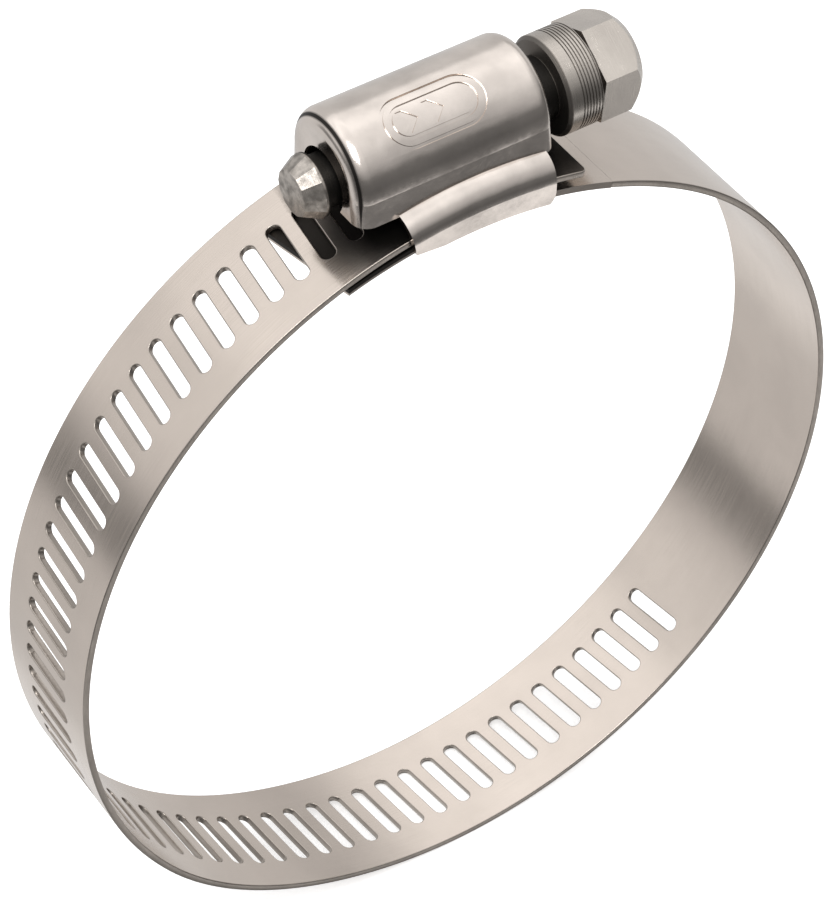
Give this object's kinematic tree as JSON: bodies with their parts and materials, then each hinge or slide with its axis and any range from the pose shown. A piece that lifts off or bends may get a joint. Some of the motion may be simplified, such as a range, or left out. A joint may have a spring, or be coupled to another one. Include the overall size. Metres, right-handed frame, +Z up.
{
  "type": "worm-drive hose clamp",
  "caption": "Slotted steel band in a round loop, tightened by a hex-headed worm screw in a stamped housing, to clamp a hose.",
  "frame": {"origin": "centre of the round loop; the hose bore's axis passes 0.19 mm below it", "axes": "+Y along the hose, +Z up through the screw housing, +X along the screw towards its hex head"},
  "size_m": [0.0764, 0.0144, 0.0862],
  "materials": {
    "band_steel": "satin stainless strip, warm grey, fine grain along its length",
    "housing_steel": "bright stamped stainless sheet, polished but slightly uneven",
    "screw_steel": "turned steel with fine turning lines on the collar"
  },
  "bodies": {
    "base": {"housing": "housing_steel", "saddle": "housing_steel", "band_head": "band_steel"},
    "worm": {"screw": "screw_steel"},
    "tail": {"band_tail": "band_steel"},
    "left_1": {"band_left_01": "band_steel"},
    "left_2": {"band_left_02": "band_steel"},
    "left_3": {"band_left_03": "band_steel"},
    "left_4": {"band_left_04": "band_steel"},
    "right_1": {"band_right_01": "band_steel"},
    "right_2": {"band_right_02": "band_steel"},
    "right_3": {"band_right_03": "band_steel"},
    "right_4": {"band_right_04": "band_steel"},
    "right_5": {"band_right_05": "band_steel"}
  },
  "joints": [
    {"name": "tail_slide", "type": "hinge", "parent": "base", "child": "tail", "pos_m": [0.00114, 0, -0.00037], "axis": [0, 1, 0], "range_deg": [0, 99.95]},
    {"name": "screw_turn", "type": "hinge", "parent": "base", "child": "worm", "pos_m": [0, 0, 0.0421], "axis": [-1, 0, 0], "range_deg": [-10, 9370]},
    {"name": "left_bend_1", "type": "hinge", "parent": "tail", "child": "left_1", "pos_m": [-0.0313, 0, -0.02156], "axis": [0, -1, 0], "range_deg": [-1, 11.55]},
    {"name": "left_bend_2", "type": "hinge", "parent": "left_1", "child": "left_2", "pos_m": [-0.01987, 0, -0.0322], "axis": [0, -1, 0], "range_deg": [-1, 11.97]},
    {"name": "left_bend_3", "type": "hinge", "parent": "left_2", "child": "left_3", "pos_m": [-0.00518, 0, -0.03724], "axis": [0, -1, 0], "range_deg": [-1, 12.56]},
    {"name": "left_bend_4", "type": "hinge", "parent": "left_3", "child": "left_4", "pos_m": [0.01027, 0, -0.03617], "axis": [0, -1, 0], "range_deg": [-1, 13.02]},
    {"name": "right_bend_1", "type": "hinge", "parent": "base", "child": "right_1", "pos_m": [0.01371, 0, 0.03469], "axis": [0, 1, 0], "range_deg": [-1, 10.84]},
    {"name": "right_bend_2", "type": "hinge", "parent": "right_1", "child": "right_2", "pos_m": [0.02673, 0, 0.02643], "axis": [0, 1, 0], "range_deg": [-1, 11.27]},
    {"name": "right_bend_3", "type": "hinge", "parent": "right_2", "child": "right_3", "pos_m": [0.03513, 0, 0.01342], "axis": [0, 1, 0], "range_deg": [-1, 11.97]},
    {"name": "right_bend_4", "type": "hinge", "parent": "right_3", "child": "right_4", "pos_m": [0.03755, 0, -0.00188], "axis": [0, 1, 0], "range_deg": [-1, 12.67]},
    {"name": "right_bend_5", "type": "hinge", "parent": "right_4", "child": "right_5", "pos_m": [0.03361, 0, -0.01685], "axis": [0, 1, 0], "range_deg": [-1, 13.08]}
  ],
  "couplings": [
    {"joint": "screw_turn", "follows": "tail_slide", "ratio": 93.648},
    {"joint": "left_bend_1", "follows": "tail_slide", "ratio": 0.10553},
    {"joint": "left_bend_2", "follows": "tail_slide", "ratio": 0.10977},
    {"joint": "left_bend_3", "follows": "tail_slide", "ratio": 0.11569},
    {"joint": "left_bend_4", "follows": "tail_slide", "ratio": 0.12024},
    {"joint": "right_bend_1", "follows": "tail_slide", "ratio": 0.09848},
    {"joint": "right_bend_2", "follows": "tail_slide", "ratio": 0.1028},
    {"joint": "right_bend_3", "follows": "tail_slide", "ratio": 0.1098},
    {"joint": "right_bend_4", "follows": "tail_slide", "ratio": 0.11678},
    {"joint": "right_bend_5", "follows": "tail_slide", "ratio": 0.1209}
  ]
}
